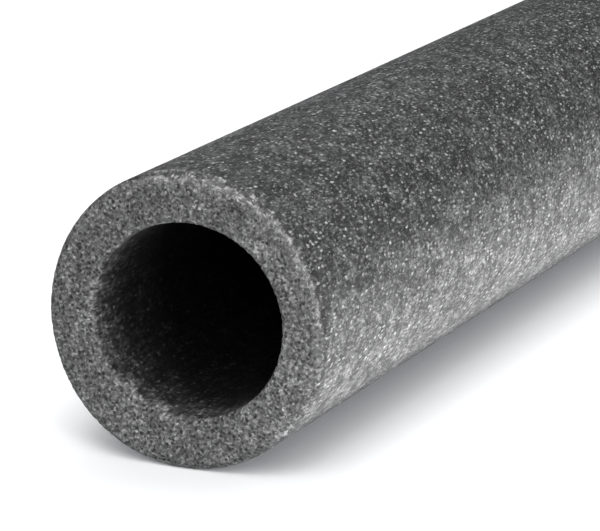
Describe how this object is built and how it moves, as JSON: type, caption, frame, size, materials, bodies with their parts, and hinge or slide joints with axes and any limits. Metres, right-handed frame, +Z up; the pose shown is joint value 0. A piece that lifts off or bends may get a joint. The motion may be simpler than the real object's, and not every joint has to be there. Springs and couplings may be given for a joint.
{
  "type": "foam pipe insulation tube",
  "caption": "Unslit tube of grey closed-cell foam lagging with rounded cut rims, slipped over a heating pipe to insulate it.",
  "frame": {"origin": "on the floor, straight below the middle of the tube", "axes": "+X along the tube, from the cut end that the picture shows to the far end; +Z up"},
  "size_m": [1, 0.054, 0.054],
  "materials": {
    "grey_foam": "satin speckled foam skin, duller open cells on the cut faces"
  },
  "bodies": {
    "root": {"foam_tube": "grey_foam"}
  },
  "joints": []
}
